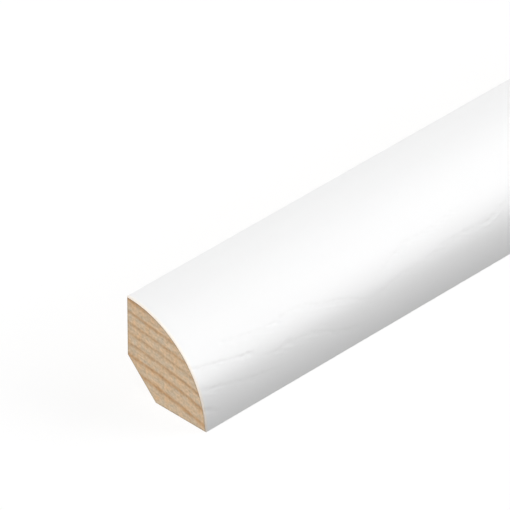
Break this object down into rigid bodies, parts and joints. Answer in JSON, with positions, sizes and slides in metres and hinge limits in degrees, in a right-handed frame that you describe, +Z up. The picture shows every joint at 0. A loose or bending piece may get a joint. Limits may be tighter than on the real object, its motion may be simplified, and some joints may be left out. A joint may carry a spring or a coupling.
{
  "type": "quarter round moulding",
  "caption": "Straight quarter round trim with a white foil on its rounded face and a chamfered back corner, for covering the joint between a wall and a floor.",
  "frame": {"origin": "bottom centre of the moulding as it lies on its floor face", "axes": "+Z up from the floor face, +Y along the length, -X towards the wall, so that the rounded face looks to +X and +Z"},
  "size_m": [0.014, 1, 0.014],
  "materials": {
    "planed_softwood": "planed, untreated",
    "white_decor_foil": "satin, pressed wood grain"
  },
  "bodies": {
    "root": {"softwood_core": "planed_softwood", "white_foil": "white_decor_foil"}
  },
  "joints": []
}
